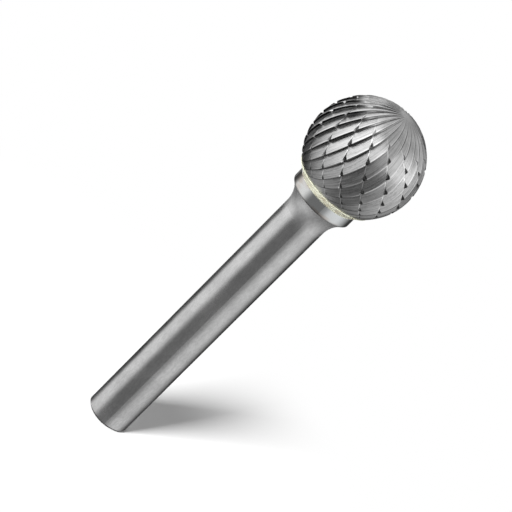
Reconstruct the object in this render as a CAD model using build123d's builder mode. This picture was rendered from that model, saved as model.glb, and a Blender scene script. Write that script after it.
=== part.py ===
"""Carbide burr with a ball head: steel shank, braze joint and toothed carbide head.

Millimetres. The origin is the centre of the shank's end face and +Z runs along the
axis to the nose. Seen from the nose, the tool turns counter-clockwise in the cut.
"""
from build123d import *
from math import asin, cos, radians, sin, sqrt, tan
import os

# ---------------------------------------------------------------- whole tool
SHANK_DIA = 6.35           # 1/4 in shank held by the collet
HEAD_DIA = 15.875          # 5/8 in ball over the cutting edges
OVERALL_LENGTH = 60.0      # shank end to nose

# ---------------------------------------------------------------- steel shank
END_CHAMFER = 0.35         # 45 degree chamfer at the shank end
COLLAR_DIA = 9.35          # collar that carries the head
COLLAR_LENGTH = 1.62       # cylindrical part of the collar
COLLAR_EDGE = 0.06         # chamfer on the collar's two rims
FLARE_RADIUS = 4.2         # hollow that leads from the shank out to the collar

# ---------------------------------------------------------------- braze joint
BRAZE_GAP = 0.12           # thickness of the brazed seam
BRAZE_SKIN = 0.08          # thickness of the alloy wetted up the back of the ball
BRAZE_TOP_LAT = -43.0      # latitude on the ball where the wetted alloy stops

# ---------------------------------------------------------------- cutting head
BACK_LAT = -54.0           # latitude where the flat back of the ball starts
FLUTES = 28                # right-hand main flutes
FLUTE_TILT = 21.5          # tilt of a flute's plane from the axis
FLUTE_DEPTH = 0.45         # deepest point of a flute
FLUTE_LAND = 0.12          # land left behind each cutting edge, at the deepest point
RAKE_LEAN = 8.0            # lean of the rake face that opens the flute
FLUTE_HALF_ARC = 74.0      # arc from a flute's deepest point to its run-out
FLUTE_MID_ARC = 6.0        # place of the deepest point along the flute
BREAKERS = 14              # left-hand cross cuts that break the chips
BREAKER_TILT = 32.2        # tilt of a cross cut's plane from the axis
BREAKER_OFFSET = 1.0       # distance of that plane from the ball's centre
BREAKER_DEPTH = 0.34       # deepest point of a cross cut
BREAKER_WIDTH = 0.52       # width of a cross cut at its deepest point
BREAKER_HALF_ARC = 52.0    # arc from a cross cut's deepest point to its run-out
BREAKER_MID_ARC = -6.0     # place of the deepest point along the cross cut
BREAKER_PHASE = -2.2       # turn of the cross cuts against the flutes
CUTTER_RISE = 0.4          # height of the cutter profiles outside the ball
CUTTER_OVERRUN = 4.0       # arc the cutters travel past each run-out

# ---------------------------------------------------------------- derived sizes
shank_r = SHANK_DIA / 2
collar_r = COLLAR_DIA / 2
ball_r = HEAD_DIA / 2
ball_z = OVERALL_LENGTH - ball_r
back_r = ball_r * cos(radians(BACK_LAT))
back_z = ball_z + ball_r * sin(radians(BACK_LAT))
collar_top_z = back_z - BRAZE_GAP
collar_low_z = collar_top_z - COLLAR_LENGTH
rim_r = collar_r - COLLAR_EDGE
flare_top_z = collar_low_z - COLLAR_EDGE
flare_low_z = flare_top_z - sqrt(FLARE_RADIUS**2 - (FLARE_RADIUS - rim_r + shank_r) ** 2)


def on_ball(radius, latitude):
    """Profile point at a latitude on a sphere about the ball's centre."""
    angle = radians(latitude)
    return radius * cos(angle), ball_z + radius * sin(angle)


def beyond(start, end, distance):
    """Point on the line from start through end, a distance past end."""
    line = Vector(*end) - Vector(*start)
    point = Vector(*end) + line.normalized() * distance
    return point.X, point.Y


# ---------------------------------------------------------------- steel shank
with BuildPart() as shank:
    with BuildSketch(Plane.XZ):
        with BuildLine():
            Polyline(
                (0, collar_top_z),
                (0, 0),
                (shank_r - END_CHAMFER, 0),
                (shank_r, END_CHAMFER),
                (shank_r, flare_low_z),
            )
            RadiusArc((shank_r, flare_low_z), (rim_r, flare_top_z), FLARE_RADIUS)
            Polyline(
                (rim_r, flare_top_z),
                (collar_r, collar_low_z),
                (collar_r, collar_top_z - COLLAR_EDGE),
                (rim_r, collar_top_z),
                (0, collar_top_z),
            )
        make_face()
    revolve(axis=Axis.Z)
shank.part.label = "shank"

# ---------------------------------------------------------------- braze joint
# A flat seam under the ball, and the alloy that wetted up the ball's plain back.
skin_r = ball_r + BRAZE_SKIN
skin_mid_lat = (BACK_LAT + BRAZE_TOP_LAT) / 2

with BuildPart() as braze_joint:
    with BuildSketch(Plane.XZ):
        with BuildLine():
            Polyline((back_r, back_z), (0, back_z), (0, collar_top_z), (rim_r, collar_top_z))
            Polyline(
                (rim_r, collar_top_z),
                on_ball(skin_r, BACK_LAT),
                on_ball(skin_r, BRAZE_TOP_LAT),
                on_ball(ball_r, BRAZE_TOP_LAT),
            )
            ThreePointArc(
                on_ball(ball_r, BRAZE_TOP_LAT),
                on_ball(ball_r, skin_mid_lat),
                (back_r, back_z),
            )
        make_face()
    revolve(axis=Axis.Z)
braze_joint.part.label = "braze_joint"

# ---------------------------------------------------------------- flute cutter
# Every flute lies in a plane through the nose, tilted from the axis. The cutter is a
# ring with a V profile that turns about that plane's normal. Its centre is set back
# from the flute, so that the flute is deepest in the middle and runs out at both ends.
ball_centre = Vector(0, 0, ball_z)
flute_tilt = radians(FLUTE_TILT)
flute_setback = FLUTE_DEPTH / (1 - cos(radians(FLUTE_HALF_ARC)))
flute_offset = ball_r * sin(flute_tilt)
flute_normal = Vector(0, -cos(flute_tilt), sin(flute_tilt))
flute_turn = Axis((0, 0, 0), flute_normal)
flute_mid = Vector(1, 0, 0).rotate(flute_turn, FLUTE_MID_ARC)
flute_sweep = FLUTE_HALF_ARC + CUTTER_OVERRUN
flute_start = flute_mid.rotate(flute_turn, -flute_sweep)
flute_origin = ball_centre + flute_normal * flute_offset - flute_mid * flute_setback
flute_axis = Axis(flute_origin, flute_normal)
flute_plane = Plane(flute_origin, x_dir=flute_start, z_dir=flute_start.cross(flute_normal))
flute_pitch = 2 * ball_r * asin(sin(radians(180 / FLUTES)) * cos(flute_tilt))
flute_width = flute_pitch - FLUTE_LAND


def flute_point(radius, arc):
    """Profile point of the flute cutter, an arc length over the ball from the edge."""
    angle = flute_tilt - arc / ball_r
    return flute_setback + radius * cos(angle), radius * sin(angle) - flute_offset


flute_edge = flute_point(ball_r, 0)
flute_root = flute_point(ball_r - FLUTE_DEPTH, FLUTE_DEPTH * tan(radians(RAKE_LEAN)))
flute_back = flute_point(ball_r, flute_width)

with BuildPart() as flute_cutter:
    with BuildSketch(flute_plane):
        with BuildLine():
            Polyline(
                flute_root,
                beyond(flute_root, flute_edge, CUTTER_RISE),
                beyond(flute_root, flute_back, CUTTER_RISE),
                close=True,
            )
        make_face()
    revolve(axis=flute_axis, revolution_arc=2 * flute_sweep)

# ---------------------------------------------------------------- chip-breaker cutter
# The cross cuts are made the same way, with a symmetrical V and the opposite hand.
breaker_tilt = radians(BREAKER_TILT)
breaker_lean = asin(BREAKER_OFFSET / ball_r)
breaker_setback = BREAKER_DEPTH / (1 - cos(radians(BREAKER_HALF_ARC)))
breaker_normal = Vector(0, cos(breaker_tilt), sin(breaker_tilt))
breaker_turn = Axis((0, 0, 0), breaker_normal)
breaker_mid = Vector(1, 0, 0).rotate(breaker_turn, BREAKER_MID_ARC)
breaker_sweep = BREAKER_HALF_ARC + CUTTER_OVERRUN
breaker_start = breaker_mid.rotate(breaker_turn, -breaker_sweep)
breaker_origin = (
    ball_centre + breaker_normal * BREAKER_OFFSET - breaker_mid * breaker_setback
)
breaker_axis = Axis(breaker_origin, breaker_normal)
breaker_plane = Plane(
    breaker_origin, x_dir=breaker_start, z_dir=breaker_start.cross(breaker_normal)
)


def breaker_point(radius, arc):
    """Profile point of the cross cutter, an arc length over the ball from its middle."""
    angle = breaker_lean - arc / ball_r
    return breaker_setback + radius * cos(angle), radius * sin(angle) - BREAKER_OFFSET


breaker_root = breaker_point(ball_r - BREAKER_DEPTH, 0)

with BuildPart() as breaker_cutter:
    with BuildSketch(breaker_plane):
        with BuildLine():
            Polyline(
                breaker_root,
                beyond(breaker_root, breaker_point(ball_r, -BREAKER_WIDTH / 2), CUTTER_RISE),
                beyond(breaker_root, breaker_point(ball_r, BREAKER_WIDTH / 2), CUTTER_RISE),
                close=True,
            )
        make_face()
    revolve(axis=breaker_axis, revolution_arc=2 * breaker_sweep)

# ---------------------------------------------------------------- cutting head
with BuildPart() as cutting_head:
    with BuildSketch(Plane.XZ):
        with BuildLine():
            Polyline((0, OVERALL_LENGTH), (0, back_z), (back_r, back_z))
            ThreePointArc((back_r, back_z), (ball_r, ball_z), (0, OVERALL_LENGTH))
        make_face()
    revolve(axis=Axis.Z)
    for place in PolarLocations(0, FLUTES):
        with Locations(place):
            add(flute_cutter.part, mode=Mode.SUBTRACT)
    for place in PolarLocations(0, BREAKERS, start_angle=BREAKER_PHASE):
        with Locations(place):
            add(breaker_cutter.part, mode=Mode.SUBTRACT)
cutting_head.part.label = "cutting_head"

# ---------------------------------------------------------------- write the pieces
os.makedirs("parts", exist_ok=True)
for piece in (shank, braze_joint, cutting_head):
    export_step(piece.part, f"parts/{piece.part.label}.step")
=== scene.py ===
from math import cos, pi, radians, sin, tan

import bpy
from mathutils import Matrix, Vector


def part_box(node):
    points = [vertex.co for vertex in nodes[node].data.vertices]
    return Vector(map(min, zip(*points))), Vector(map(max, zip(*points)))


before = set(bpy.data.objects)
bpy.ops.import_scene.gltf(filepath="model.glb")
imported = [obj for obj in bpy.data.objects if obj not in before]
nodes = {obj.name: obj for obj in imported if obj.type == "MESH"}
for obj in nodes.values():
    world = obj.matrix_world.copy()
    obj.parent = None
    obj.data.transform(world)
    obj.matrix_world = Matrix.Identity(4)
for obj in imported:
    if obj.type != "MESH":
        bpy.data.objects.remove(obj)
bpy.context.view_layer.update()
scene = bpy.context.scene
MM = 0.001
UP = Vector((0, 0, 1))

# ------------------------------------------------------------------ the tool's own sizes
head_low, head_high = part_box("cutting_head")
BALL_R = (head_high.x - head_low.x) / 2
BALL_Z = head_high.z - BALL_R
SHANK_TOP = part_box("shank")[1].z
COLLAR_Z = SHANK_TOP - 1.62 * MM    # the collar's lower edge
FLARE_Z = COLLAR_Z - 3.20 * MM      # where the flare leaves the plain shank

# ------------------------------------------------------------------ camera
# The tool stands on its shank end. The camera looks down on it a little and is
# rolled, so that the tool leans to the upper right of the picture.
CAMERA_AZIMUTH = -11.0     # degrees from +X
CAMERA_RISE = 23.5
CAMERA_ROLL = 45.06
SENSOR = 36.0
IMAGE_PX = 512
DISTANCE_PX = 2600.0       # camera to ball, in pixels at the ball
PX_PER_MM = 7.893          # at the ball
BALL_PX = (108.25, 98.5)   # ball centre, right of and above the picture's centre
CLIP = (0.01, 10)

front = Vector((cos(radians(CAMERA_AZIMUTH)), sin(radians(CAMERA_AZIMUTH)), 0))
east = UP.cross(front)
rise, roll = radians(CAMERA_RISE), radians(CAMERA_ROLL)
toward = front * cos(rise) + UP * sin(rise)
tool_up = UP * cos(rise) - front * sin(rise)
right = tool_up * cos(roll) + east * sin(roll)
above = tool_up * sin(roll) - east * cos(roll)
pixel = MM / PX_PER_MM

camera = bpy.data.objects.new("camera", bpy.data.cameras.new("camera"))
camera.data.sensor_width = SENSOR
camera.data.lens = DISTANCE_PX / IMAGE_PX * SENSOR
camera.data.clip_start, camera.data.clip_end = CLIP
station = Vector((0, 0, BALL_Z)) + toward * DISTANCE_PX * pixel
station -= right * BALL_PX[0] * pixel + above * BALL_PX[1] * pixel
axes = Matrix((right, above, toward)).transposed().to_4x4()
camera.matrix_world = Matrix.Translation(station) @ axes
scene.collection.objects.link(camera)
scene.camera = camera


# ------------------------------------------------------------------ node helpers
def grey(value):
    """A number or an RGB triple as RGBA."""
    if isinstance(value, (int, float)):
        value = (value, value, value)
    return (*value, 1.0)


class Tree:
    """Short hands for building a node tree; a value is a number, a colour or a socket."""

    def __init__(self, node_tree):
        self.nodes = node_tree.nodes
        self.links = node_tree.links
        self.nodes.clear()

    def new(self, kind, **settings):
        node = self.nodes.new("ShaderNode" + kind)
        for name, value in settings.items():
            setattr(node, name, value)
        return node

    def put(self, socket, value):
        if hasattr(value, "is_output"):
            self.links.new(value, socket)
        else:
            socket.default_value = value

    def fill(self, node, values):
        """Puts the values into the node's first inputs, in order."""
        for socket, value in zip(node.inputs, values):
            self.put(socket, value)

    # numbers
    def math(self, operation, *values):
        node = self.new("Math", operation=operation)
        self.fill(node, values)
        return node.outputs[0]

    def chain(self, operation, first, *others):
        for other in others:
            first = self.math(operation, first, other)
        return first

    def total(self, *values):
        return self.chain("ADD", *values)

    def product(self, *values):
        return self.chain("MULTIPLY", *values)

    def highest(self, *values):
        return self.chain("MAXIMUM", *values)

    def soft_step(self, value, low, high, start, end):
        """A smooth change from start to end while the value goes from low to high."""
        node = self.new("MapRange", interpolation_type="SMOOTHSTEP")
        self.fill(node, (value, low, high, start, end))
        return node.outputs[0]

    def rise(self, value, low, high):
        return self.soft_step(value, low, high, 0.0, 1.0)

    def fall(self, value, low, high):
        return self.soft_step(value, low, high, 1.0, 0.0)

    # vectors
    def vector(self, operation, *values):
        node = self.new("VectorMath", operation=operation)
        self.fill(node, values)
        one_number = operation in ("DOT_PRODUCT", "LENGTH")
        return node.outputs["Value" if one_number else "Vector"]

    def split(self, vector):
        node = self.new("SeparateXYZ")
        self.fill(node, [vector])
        return node.outputs

    def join(self, *numbers):
        node = self.new("CombineXYZ")
        self.fill(node, numbers)
        return node.outputs[0]

    # colours and textures
    def mix(self, factor, first, second, blend="MIX"):
        node = self.new("Mix", data_type="RGBA", blend_type=blend)
        self.put(node.inputs[0], factor)
        self.put(node.inputs[6], first if hasattr(first, "is_output") else grey(first))
        self.put(node.inputs[7], second if hasattr(second, "is_output") else grey(second))
        return node.outputs[2]

    def coat(self, base, colour, mask, amount):
        """The base, covered with a colour by that amount where the mask is 1."""
        return self.mix(self.product(mask, amount), base, colour)

    def noise(self, at, scale, detail, roughness):
        """Noise; the scale is one number for all axes or one for each."""
        if isinstance(scale, tuple):
            at = self.vector("MULTIPLY", at, scale)
            scale = 1.0
        node = self.new("TexNoise")
        self.put(node.inputs["Vector"], at)
        self.put(node.inputs["Scale"], scale)
        self.put(node.inputs["Detail"], detail)
        self.put(node.inputs["Roughness"], roughness)
        return node.outputs["Fac"]

    def cavity(self, reach):
        """1 on open faces, falling towards 0 in corners and grooves narrower than the reach."""
        node = self.new("AmbientOcclusion", samples=8, only_local=True)
        node.inputs["Distance"].default_value = reach
        return node.outputs["AO"]

    def bump(self, height, strength, distance):
        node = self.new("Bump")
        self.put(node.inputs["Strength"], strength)
        self.put(node.inputs["Distance"], distance)
        self.put(node.inputs["Height"], height)
        return node.outputs[0]

    # shaders
    def shader(self, kind, **values):
        node = self.new(kind)
        for name, value in values.items():
            self.put(node.inputs[name], value)
        return node.outputs[0]

    def pick(self, factor, first, second):
        node = self.new("MixShader")
        self.fill(node, (factor, first, second))
        return node.outputs[0]

    def finish(self, kind, surface):
        self.put(self.new("Output" + kind).inputs["Surface"], surface)


def mirrored(tree):
    """1 for rays that come off or through a glossy surface."""
    path = tree.new("LightPath").outputs
    return tree.highest(path["Is Glossy Ray"], path["Is Transmission Ray"])


# ------------------------------------------------------------------ world
# White where the camera looks past the tool. What the metal mirrors is a grey studio
# with soft lights, which is turned and leans a little against the tool. A place in it
# is an azimuth from its front and a height, both in degrees. "Ahead" and "aside" are
# parts of a direction, towards the studio's front and its right, from -1 to 1.
AMBIENT = 0.30             # what all other rays see, alike on every side
STUDIO_TURN = 10.0
STUDIO_LEAN = 16.0
DARK = 0.18                # where nothing shines
CEILING = 0.62
CEILING_FOOT = (25, 55)    # heights between which the ceiling takes over

# each edge of a softbox is soft between the two places given for it
LEFT_BOX = {
    "left": (-165, -112),
    "right": (-70, -30),
    "foot": (-88, 22),
    "head": (37, 53),
    "strength": 1.75,
}
RIGHT_BOX = {
    "left": (15, 47),
    "right": (72, 128),
    "foot": (-80, 40),
    "head": (40, 66),
    "strength": 0.88,
}
TOP_BOX = {
    "left": (-20, 6),
    "right": (45, 80),
    "foot": (19, 42),
    "head": (52, 76),
    "strength": 0.80,
}

# the pale wall behind the tool, lower and brighter on the left than on the right
WALL_SIDES = (-0.10, 0.30)     # aside: where its left part ends and its right part starts
WALL_FOOT = (-32, 8)           # height of its foot, left and right
WALL_GLOW = (1.30, 0.80)       # its brightness, left and right
WALL_FADE = 26                 # degrees above its foot in which it reaches that
WALL_ENDS = (-0.55, -0.25)     # ahead: where it ends towards the front

# behind the tool, only the wall is bright
SHADE = 0.22                   # share that is left of everything else there
SHADE_ENDS = (-0.68, -0.32)    # ahead: from all shaded to not shaded
FLOOR_GLOW = 0.75              # straight below the tool
FLOOR_ENDS = (-80, -52)        # heights in which that fades out

studio_front = front * cos(radians(STUDIO_TURN)) + east * sin(radians(STUDIO_TURN))
level_right = UP.cross(studio_front)
studio_up = UP * cos(radians(STUDIO_LEAN)) + level_right * sin(radians(STUDIO_LEAN))
studio_right = studio_up.cross(studio_front)


def softbox(tree, azimuth, height, box):
    """The glow of one softbox."""
    return tree.product(
        tree.rise(height, *box["foot"]),
        tree.fall(height, *box["head"]),
        tree.rise(azimuth, *box["left"]),
        tree.fall(azimuth, *box["right"]),
        box["strength"],
    )


def studio_glow(tree):
    """The brightness of the studio in every direction."""
    way = tree.new("TexCoord").outputs["Generated"]
    ahead = tree.vector("DOT_PRODUCT", way, studio_front)
    aside = tree.vector("DOT_PRODUCT", way, studio_right)
    azimuth = tree.math("DEGREES", tree.math("ARCTAN2", aside, ahead))
    height = tree.math("DEGREES", tree.math("ARCSINE", tree.vector("DOT_PRODUCT", way, studio_up)))

    ceiling = tree.soft_step(height, *CEILING_FOOT, DARK, CEILING)
    boxes = [softbox(tree, azimuth, height, box) for box in (LEFT_BOX, RIGHT_BOX, TOP_BOX)]
    shade = tree.soft_step(ahead, *SHADE_ENDS, SHADE, 1.0)
    lights = tree.product(tree.total(ceiling, *boxes), shade)

    over_foot = tree.math("SUBTRACT", height, tree.soft_step(aside, *WALL_SIDES, *WALL_FOOT))
    wall = tree.product(
        tree.rise(over_foot, 0, WALL_FADE),
        tree.soft_step(aside, *WALL_SIDES, *WALL_GLOW),
        tree.fall(ahead, *WALL_ENDS),
    )
    return tree.highest(lights, wall, tree.soft_step(height, *FLOOR_ENDS, FLOOR_GLOW, 0.0))


def light_the_world():
    """The world: white, plain room light or studio, by the kind of ray."""
    world = bpy.data.worlds.new("studio")
    world.use_nodes = True
    scene.world = world
    tree = Tree(world.node_tree)
    room = tree.shader("Background", Color=grey(1.0), Strength=AMBIENT)
    studio = tree.shader("Background", Color=grey(1.0), Strength=studio_glow(tree))
    white = tree.shader("Background", Color=grey(1.0), Strength=1.0)
    camera_ray = tree.new("LightPath").outputs["Is Camera Ray"]
    tree.finish("World", tree.pick(camera_ray, tree.pick(mirrored(tree), room, studio), white))


light_the_world()

# ------------------------------------------------------------------ floor
# The camera sees it lit at the tool's foot, with the shadow, and in the background's
# white farther out. Mirrored rays pass through it and reach the studio.
FLOOR_SIZE = 3.0
FLOOR_GREY = 0.9
SHADOW_FADE = (14 * MM, 54 * MM)    # distances from the foot


def white_floor():
    """The floor's material, which differs by the kind of ray."""
    material = bpy.data.materials.new("white_floor")
    material.use_nodes = True
    tree = Tree(material.node_tree)
    distance = tree.vector("LENGTH", tree.new("NewGeometry").outputs["Position"])
    camera_ray = tree.new("LightPath").outputs["Is Camera Ray"]
    lit = tree.shader("BsdfDiffuse", Color=grey(FLOOR_GREY))
    white = tree.shader("Emission", Color=grey(1.0), Strength=1.0)
    clear = tree.shader("BsdfTransparent", Color=grey(1.0))
    seen = tree.pick(tree.product(camera_ray, tree.rise(distance, *SHADOW_FADE)), lit, white)
    tree.finish("Material", tree.pick(mirrored(tree), seen, clear))
    return material


half = FLOOR_SIZE / 2
mesh = bpy.data.meshes.new("floor")
corners = [(-half, -half, 0), (half, -half, 0), (half, half, 0), (-half, half, 0)]
mesh.from_pydata(corners, [], [(0, 1, 2, 3)])
mesh.materials.append(white_floor())
floor = bpy.data.objects.new("floor", mesh)
scene.collection.objects.link(floor)

# ------------------------------------------------------------------ lamp
# One low lamp in front of the tool and to its left, so that the shadow runs from the
# tool's foot to the right of the picture. The metal doesn't mirror it.
KEY_AZIMUTH = -25.0        # degrees from the camera
KEY_RISE = 28.0
KEY_DISTANCE = 1.5
KEY_SIZE = 0.30
KEY_POWER = 44.0

turn, lift = radians(KEY_AZIMUTH), radians(KEY_RISE)
away = (front * cos(turn) + east * sin(turn)) * cos(lift) + UP * sin(lift)
key = bpy.data.objects.new("key", bpy.data.lights.new("key", "AREA"))
key.data.size = KEY_SIZE
key.data.energy = KEY_POWER
key.location = away * KEY_DISTANCE
key.rotation_euler = away.to_track_quat("Z", "Y").to_euler()
key.visible_glossy = False
scene.collection.objects.link(key)


# ------------------------------------------------------------------ materials
def metal(name, node_name):
    """A bare metal on one node, to be dressed; gives its tree and its shader's inputs."""
    material = bpy.data.materials.new(name)
    material.use_nodes = True
    tree = Tree(material.node_tree)
    shader = tree.new("BsdfPrincipled")
    tree.put(shader.inputs["Metallic"], 1.0)
    tree.finish("Material", shader.outputs[0])
    slots = nodes[node_name].data.materials
    slots.clear()
    slots.append(material)
    return tree, shader.inputs


# ------------------------------------------------------------------ shank
# noises, in waves to the metre along all axes or along each
RINGS = {"scale": (900, 900, 26000), "detail": 2.0, "roughness": 0.6}
BLOOM = {"scale": (420, 420, 240), "detail": 3.0, "roughness": 0.55}
BLOTCHES = {"scale": 130, "detail": 2.0, "roughness": 0.5}
SPECKS = {"scale": (3200, 3200, 1800), "detail": 2.0, "roughness": 0.6}
HEAT = {"scale": (260, 260, 700), "detail": 2.0, "roughness": 0.5}

STEEL_GREYS = (0.62, 0.76)
BLOTCH_GREY = 0.56
SPECK_GREY = 0.40
# the next four: painted shade at the foot, a painted reflection on the flare, a painted shade line
# along the collar's lower edge and painted shade in corners
FOOT_SHADE_GREY = 0.10
FLARE_REFLECTION_GREY = 0.88
RIM_SHADE_GREY = 0.12
CORNER_SHADE_GREY = 0.25
COLLAR_PALE = (0.80, 0.83, 0.84)
COLLAR_DULL = (0.66, 0.66, 0.65)
HEAT_TINT = (0.50, 0.42, 0.36)

STEEL_ROUGHNESS = (0.19, 0.27)
BLOTCH_ROUGHNESS = 0.04    # added to it on the blotches
FLARE_ROUGHNESS = 0.22     # added to it on the flare
COLLAR_ROUGHNESS = -0.10   # added to it on the collar
RING_STRENGTH = 0.05
RING_DEPTH = 0.02 * MM     # in the shading alone
CORNER_SHADE_REACH = 1.2 * MM    # how near a wall has to be for painted shade on a face

# heights between which the finish, the painted shade and the painted reflection change
CHAMFER_END = (0.30 * MM, 0.42 * MM)
FLARE_START = (FLARE_Z - 1.40 * MM, FLARE_Z + 1.00 * MM)
COLLAR_START = (COLLAR_Z - 0.08 * MM, COLLAR_Z + 0.04 * MM)
RIM_END = (COLLAR_Z, COLLAR_Z + 0.22 * MM)


def dress_shank():
    """Ground steel with fine rings and a mottled bloom, and a paler collar with heat tints; painted
    shade at the foot, along the collar's lower edge and in corners, and a painted reflection on the
    flare.
    """
    tree, steel = metal("ground_steel", "shank")
    at = tree.new("TexCoord").outputs["Object"]
    height = tree.split(at)[2]
    bloom = tree.noise(at, **BLOOM)
    blotches = tree.noise(at, **BLOTCHES)
    specks = tree.fall(tree.noise(at, **SPECKS), 0.35, 0.65)
    heat = tree.rise(tree.noise(at, **HEAT), 0.50, 0.64)
    collar = tree.rise(height, *COLLAR_START)
    # a painted shade line along the collar's lower edge
    rim_shade = tree.product(collar, tree.fall(height, *RIM_END))
    flare = tree.product(tree.rise(height, *FLARE_START), tree.math("SUBTRACT", 1.0, collar))
    # painted shade in corners, where walls are near
    free_of_corner_shade = tree.rise(tree.cavity(CORNER_SHADE_REACH), 0.5, 0.9)

    plain = tree.mix(tree.rise(bloom, 0.3, 0.7), *STEEL_GREYS)
    plain = tree.coat(plain, BLOTCH_GREY, tree.rise(blotches, 0.35, 0.7), 0.25)
    # painted reflection: the flare is painted paler, standing in for the pale floor it mirrors
    plain = tree.coat(plain, FLARE_REFLECTION_GREY, flare, 0.7)
    plain = tree.coat(plain, SPECK_GREY, specks, 0.22)
    # painted shade on the foot's chamfer, where the tool meets the floor
    plain = tree.coat(plain, FOOT_SHADE_GREY, tree.fall(height, *CHAMFER_END), 0.8)
    pale = tree.mix(tree.rise(blotches, 0.35, 0.7), COLLAR_PALE, COLLAR_DULL)
    pale = tree.coat(pale, HEAT_TINT, heat, 0.60)
    base = tree.mix(collar, plain, pale)
    base = tree.coat(base, RIM_SHADE_GREY, rim_shade, 0.8)
    tree.put(steel["Base Color"], tree.mix(free_of_corner_shade, CORNER_SHADE_GREY, base))

    roughness = tree.total(
        tree.soft_step(bloom, 0.25, 0.75, *STEEL_ROUGHNESS),
        tree.soft_step(blotches, 0.4, 0.7, 0.0, BLOTCH_ROUGHNESS),
        tree.product(flare, FLARE_ROUGHNESS),
        tree.product(collar, COLLAR_ROUGHNESS),
    )
    tree.put(steel["Roughness"], roughness)
    tree.put(steel["Normal"], tree.bump(tree.noise(at, **RINGS), RING_STRENGTH, RING_DEPTH))


# ------------------------------------------------------------------ braze
# the stains' noise is in waves to the metre
STAINS = {"scale": 900, "detail": 3.0, "roughness": 0.6}
ALLOY = (0.90, 0.91, 0.74)
STAIN = (0.62, 0.56, 0.40)
BRAZE_METALLIC = 0.55      # flux and tarnish cover part of the metal
BRAZE_ROUGHNESS = 0.42
STAIN_STRENGTH = 0.5
STAIN_DEPTH = 0.05 * MM


def dress_braze():
    """Pale silver alloy, uneven and slightly stained."""
    tree, braze = metal("silver_braze", "braze_joint")
    stains = tree.noise(tree.new("TexCoord").outputs["Object"], **STAINS)
    tree.put(braze["Base Color"], tree.mix(tree.rise(stains, 0.40, 0.75), ALLOY, STAIN))
    tree.put(braze["Metallic"], BRAZE_METALLIC)
    tree.put(braze["Roughness"], BRAZE_ROUGHNESS)
    tree.put(braze["Normal"], tree.bump(stains, STAIN_STRENGTH, STAIN_DEPTH))


# ------------------------------------------------------------------ head
# The pattern of the teeth is worked out again on the surface, with the solids' own
# numbers. It gives each tooth its own finish, paints shade into the cuts, at their fine ends
# and on the ball's back, and paints highlights along the edges and a dark reflection at the nose.
FLUTES = 28
FLUTE_TILT = 21.5          # tilt of a flute's plane from the axis
BREAKERS = 14
BREAKER_TILT = 32.2        # tilt of a cross cut's plane from the axis
BREAKER_OFFSET = 1.0 * MM  # distance of that plane from the ball's centre
BREAKER_PHASE = -2.2       # turn of the cross cuts against the flutes
AXIS_R = 0.1 * MM          # least distance from the axis, in place of 0

# noises; the streaks are in waves to a flute and to the ball's radius, the rest to the metre
STREAKS = {"scale": (11.0, 2.2, 1.0), "detail": 3.0, "roughness": 0.65}
GRAIN = {"scale": 2600, "detail": 3.0, "roughness": 0.6}
FILM_EDGE = {"scale": 420, "detail": 2.0, "roughness": 0.5}

STREAK_SHADE = 0.62
STREAK_STRENGTH = 0.55
STREAK_DEPTH = 0.04 * MM
STREAK_ROUGHNESS = (0.24, 0.34)
GRAIN_GREY = 0.62
TOOTH_GREYS = (0.47, 0.63)
TOOTH_ROUGHNESS = 0.06     # added to the streaks' on the roughest tooth
TOOTH_TILT = 0.10          # spread of the teeth's tilts, as a part of the normal

# Painted highlights and painted shade, called finishes below. Each covers the base with a grey, by
# an amount, in a zone of the pattern. The zone starts and ends softly, between the two places
# given; Teeth tells what they mean.
BELT_START = (-0.70, -0.55)     # up: the belt that the cross cuts run through
BELT_END = (0.62, 0.80)
# painted highlight along the land of each cutting edge
LAND_HIGHLIGHT = {
    "starts": {"across": (0.86, 0.94), "up": (-0.55, -0.10)},
    "ends": {"across": (0.985, 1.0)},
    "grey": 0.80,
    "amount": 0.6,
}
# painted highlight: a bright line on one side of each cross cut
CROSS_CUT_HIGHLIGHT = {
    "starts": {"past": (0.940, 0.960), "up": BELT_START},
    "ends": {"up": BELT_END},
    "grey": 0.95,
    "amount": 0.8,
}
# painted shade: a dark line on the other side of each cross cut
CROSS_CUT_SHADE = {
    "starts": {"up": BELT_START},
    "ends": {"past": (0.0, 0.030), "up": BELT_END},
    "grey": 0.10,
    "amount": 0.6,
}
# painted shade: a black triangle behind each cross cut
NOTCH_SHADE = {
    "starts": {"up": BELT_START},
    "ends": {"up": BELT_END},
    "grey": 0.02,
    "amount": 0.9,
}
# painted shade: dark lines at the fine ends of the flutes near the nose
FINE_CUT_SHADE = {
    "starts": {"up": (0.55, 0.80)},
    "ends": {"across": (0.03, 0.15), "up": (0.975, 0.990)},
    "grey": 0.06,
    "amount": 0.85,
}
# painted shade in the gullets
GULLET_SHADE = {
    "starts": {},
    "ends": {"across": (0.05, 0.15), "up": (0.30, 0.62)},
    "grey": 0.02,
    "amount": 0.92,
}
# painted shade on the ball's back, towards the collar
BACK_SHADE = {
    "starts": {},
    "ends": {"up": (-0.62, -0.35)},
    "grey": 0.22,
    "amount": 0.36,
}
# painted shade on the rake faces
RAKE_SHADE = {
    "starts": {},
    "ends": {"facing": (0.18, 0.40), "up": (0.60, 0.80)},
    "grey": 0.012,
    "amount": 0.95,
}
# painted dark reflection around the nose
NOSE_DARK_REFLECTION = {
    "starts": {"up": (0.86, 0.995)},
    "ends": {},
    "grey": 0.08,
    "amount": 0.6,
}
NOTCH_ACROSS = (0.55, 1.0)      # where the painted shade triangle at a notch starts and where it is widest
NOTCH_WIDTH = 0.13              # past the cross cut, where it is widest
NOTCH_TIP = 0.001               # its least width, in place of 0
NOTCH_EDGE = (0.85, 1.05)       # its soft edge, in shares of its width
RAKE_LEVEL = (0.962, 0.974)     # a rake face gets painted shade above this level
RAKE_ROOT = 0.25                # share of that painted shade below it

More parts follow.
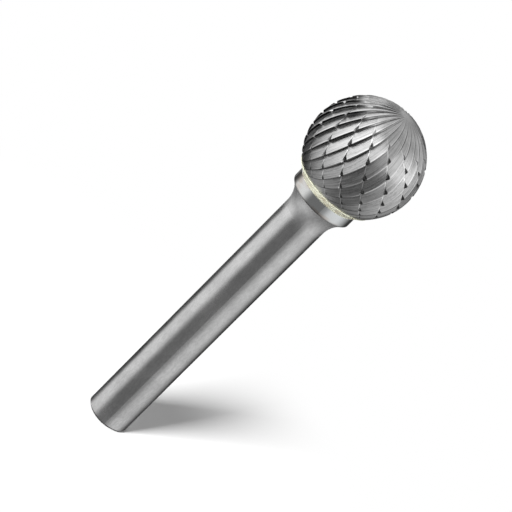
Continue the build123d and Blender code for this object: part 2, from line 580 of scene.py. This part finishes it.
# the thin ragged edge of the braze on the ball's back
FILM_COLOUR = (0.80, 0.81, 0.68)
FILM_END = (-0.70, -0.62)
FILM_RAGGEDNESS = 0.30

CUT_SHADE_GREY = 0.03                 # painted shade deep in the cuts
CUT_SHADE_REACH = 0.5 * MM            # how near a wall has to be for painted shade on a face
LIT_NOSE = (0.45, 0.75)         # up: where the painted shade in the cuts fades out
LIT_BACKS = (0.72, 0.90)        # facing: where a face is the back of a tooth, which gets little painted shade
FLAT_NOSE = (0.50, 0.90)        # up: where the shading turns to a plain ball's


class Teeth:
    """Where each point of the head lies in the pattern, as sockets.

    across    0 to 1 from one cutting edge to the next, down its rake face first
    past      0 to 1 from one cross cut to the next
    up        -1 to 1 from the ball's back to its nose
    level     distance from the ball's centre, 1 at the cutting edges
    outward   direction from the ball's centre
    facing    1 where the surface looks straight outward, 0 on an upright wall
    number    each tooth's own random number from 0 to 1
    tilt      each tooth's own small tilt
    streaks   grinding marks along the flutes
    """

    def __init__(self, tree, at):
        x, y, z = tree.split(at)
        z = tree.math("SUBTRACT", z, BALL_Z)
        centred = tree.join(x, y, z)
        self.up = tree.math("DIVIDE", z, BALL_R)
        self.level = tree.math("DIVIDE", tree.vector("LENGTH", centred), BALL_R)
        self.outward = tree.vector("NORMALIZE", centred)
        normal = tree.new("NewGeometry").outputs["Normal"]
        self.facing = tree.vector("DOT_PRODUCT", normal, self.outward)

        longitude = tree.math("ARCTAN2", y, x)
        from_axis = tree.math("SQRT", tree.total(tree.product(x, x), tree.product(y, y)))
        from_axis = tree.highest(from_axis, AXIS_R)
        flute = self.count_flutes(tree, longitude, from_axis, z)
        breaker = self.count_breakers(tree, longitude, from_axis, z)
        self.across = tree.math("FRACT", flute)
        self.past = tree.math("FRACT", breaker)
        self.streaks = tree.noise(tree.join(flute, self.up), **STREAKS)

        own = tree.new("TexWhiteNoise", noise_dimensions="3D")
        tooth = tree.join(tree.math("FLOOR", flute), tree.math("FLOOR", breaker))
        tree.put(own.inputs["Vector"], tooth)
        self.number = own.outputs["Value"]
        tilt = tree.vector("SUBTRACT", own.outputs["Color"], (0.5, 0.5, 0.5))
        self.tilt = tree.vector("MULTIPLY", tilt, (TOOTH_TILT, TOOTH_TILT, TOOTH_TILT))

    def count_flutes(self, tree, longitude, from_axis, z):
        """A number that is whole along each cutting edge."""
        below_nose = tree.math("SUBTRACT", BALL_R, z)
        drop = tree.math("DIVIDE", tree.product(below_nose, tan(radians(FLUTE_TILT))), from_axis)
        lag = tree.math("ARCSINE", tree.math("MINIMUM", drop, 1.0))
        return tree.product(tree.total(longitude, lag), FLUTES / (2 * pi))

    def count_breakers(self, tree, longitude, from_axis, z):
        """A number that is whole along the middle of each cross cut."""
        tilt = radians(BREAKER_TILT)
        drop = tree.math("SUBTRACT", BREAKER_OFFSET, tree.product(z, sin(tilt)))
        drop = tree.math("DIVIDE", drop, tree.product(from_axis, cos(tilt)))
        lag = tree.math("ARCSINE", tree.highest(tree.math("MINIMUM", drop, 1.0), -1.0))
        turned = tree.math("SUBTRACT", longitude, lag)
        turned = tree.math("SUBTRACT", turned, radians(BREAKER_PHASE))
        return tree.product(turned, BREAKERS / (2 * pi))


def lay(tree, base, teeth, finish, *masks):
    """The base with a finish, which is a painted highlight or painted shade, on it, in the finish's
    zone and where the masks are 1.
    """
    starts = [tree.rise(getattr(teeth, name), *edge) for name, edge in finish["starts"].items()]
    ends = [tree.fall(getattr(teeth, name), *edge) for name, edge in finish["ends"].items()]
    mask = tree.product(*starts, *ends, *masks)
    return tree.coat(base, finish["grey"], mask, finish["amount"])


def notch_shade_shape(tree, teeth):
    """A triangle of painted shade behind each cross cut that widens towards the cutting edge."""
    width = tree.soft_step(teeth.across, *NOTCH_ACROSS, 0.0, NOTCH_WIDTH)
    share = tree.math("DIVIDE", teeth.past, tree.highest(width, NOTCH_TIP))
    return tree.fall(share, *NOTCH_EDGE)


def carbide_colour(tree, at, teeth):
    """Ground faces, each tooth in its own grey, with painted highlights and painted shade on them.
    """
    base = tree.mix(teeth.number, *TOOTH_GREYS)
    streaked = tree.mix(1.0, base, STREAK_SHADE, "MULTIPLY")
    base = tree.mix(tree.rise(teeth.streaks, 0.36, 0.64), streaked, base)
    base = tree.coat(base, GRAIN_GREY, tree.rise(tree.noise(at, **GRAIN), 0.30, 0.70), 0.3)
    for finish in (LAND_HIGHLIGHT, CROSS_CUT_HIGHLIGHT, CROSS_CUT_SHADE):
        base = lay(tree, base, teeth, finish)
    base = lay(tree, base, teeth, NOTCH_SHADE, notch_shade_shape(tree, teeth))
    for finish in (FINE_CUT_SHADE, GULLET_SHADE, BACK_SHADE):
        base = lay(tree, base, teeth, finish)
    base = lay(tree, base, teeth, RAKE_SHADE, tree.soft_step(teeth.level, *RAKE_LEVEL, RAKE_ROOT, 1.0))
    base = lay(tree, base, teeth, NOSE_DARK_REFLECTION)

    ragged = tree.product(tree.math("SUBTRACT", tree.noise(at, **FILM_EDGE), 0.5), FILM_RAGGEDNESS)
    film = tree.fall(tree.total(teeth.up, ragged), *FILM_END)
    return tree.coat(base, FILM_COLOUR, film, 0.45)


def free_of_cut_shade(tree, teeth):
    """0 deep in the cuts, where shade is painted, 1 on open faces; the nose and the teeth's backs
    get little of that painted shade.
    """
    near_nose = tree.product(tree.rise(teeth.up, *LIT_NOSE), 0.8)
    tooth_backs = tree.product(tree.rise(teeth.facing, *LIT_BACKS), 0.85)
    return tree.highest(tree.rise(tree.cavity(CUT_SHADE_REACH), 0.30, 0.60), near_nose, tooth_backs)


def carbide_normal(tree, teeth):
    """The streaky normal, turned towards a plain ball's at the nose and tilted on each tooth."""
    shape = tree.new("Mix", data_type="VECTOR")
    tree.put(shape.inputs[0], tree.product(tree.rise(teeth.up, *FLAT_NOSE), 0.75))
    tree.put(shape.inputs[4], tree.bump(teeth.streaks, STREAK_STRENGTH, STREAK_DEPTH))
    tree.put(shape.inputs[5], teeth.outward)
    return tree.vector("NORMALIZE", tree.vector("ADD", shape.outputs[1], teeth.tilt))


def dress_head():
    """Ground carbide, with painted shade in the cuts."""
    tree, carbide = metal("ground_carbide", "cutting_head")
    at = tree.new("TexCoord").outputs["Object"]
    teeth = Teeth(tree, at)
    colour = carbide_colour(tree, at, teeth)
    # painted shade deep in the cuts
    tree.put(carbide["Base Color"], tree.mix(free_of_cut_shade(tree, teeth), CUT_SHADE_GREY, colour))
    streaky = tree.soft_step(teeth.streaks, 0.3, 0.7, *STREAK_ROUGHNESS)
    tree.put(carbide["Roughness"], tree.total(streaky, tree.product(teeth.number, TOOTH_ROUGHNESS)))
    tree.put(carbide["Normal"], carbide_normal(tree, teeth))


dress_shank()
dress_braze()
dress_head()

scene.view_settings.view_transform = "Standard"
